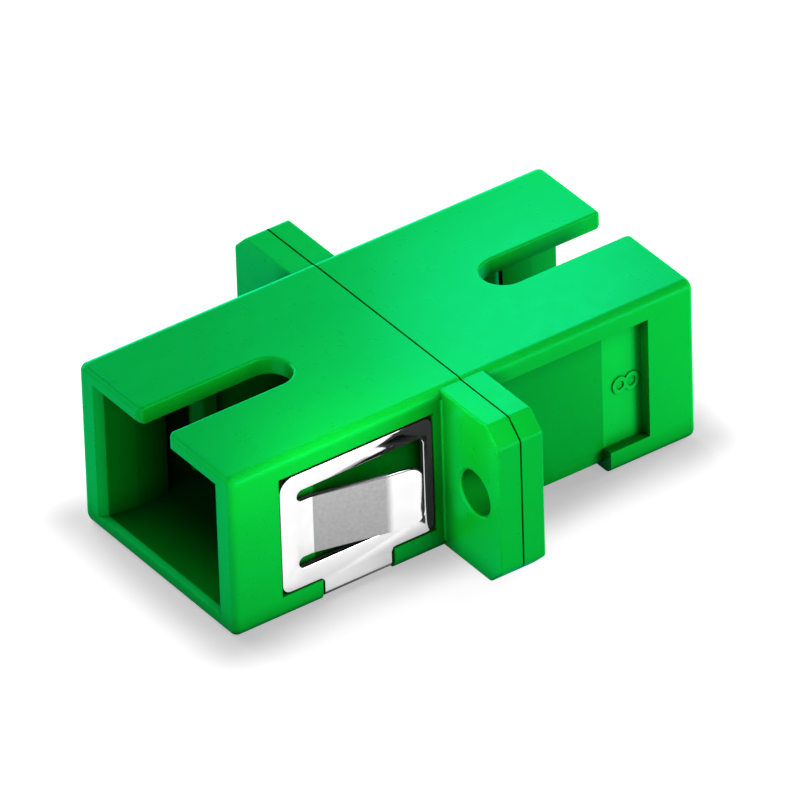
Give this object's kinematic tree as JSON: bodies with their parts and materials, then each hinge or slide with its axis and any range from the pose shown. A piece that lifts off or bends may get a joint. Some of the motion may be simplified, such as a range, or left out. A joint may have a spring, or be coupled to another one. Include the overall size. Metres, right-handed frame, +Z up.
{
  "type": "fibre optic adapter",
  "caption": "Simplex push-pull fibre adapter: rectangular plug port at each end, keyway on top, screw flange round the middle and a sprung panel clip.",
  "frame": {"origin": "middle of the alignment sleeve, on the weld plane between the housing halves; also the centre of the bounding box", "axes": "+Y along the fibre towards the rear port, +Z up to the keyway side, +X across the flange from screw hole to screw hole"},
  "size_m": [0.0222, 0.0278, 0.0094],
  "materials": {
    "housing": "semi-gloss moulded, saturated green",
    "latch_carrier": "satin moulded, green",
    "sleeve": "ground zirconia",
    "spring_sheet": "bright rolled stainless spring sheet"
  },
  "bodies": {
    "root": {"front_housing": "housing", "rear_housing": "housing", "front_latch_carrier": "latch_carrier", "rear_latch_carrier": "latch_carrier", "alignment_sleeve": "sleeve", "panel_clip": "spring_sheet"}
  },
  "joints": []
}
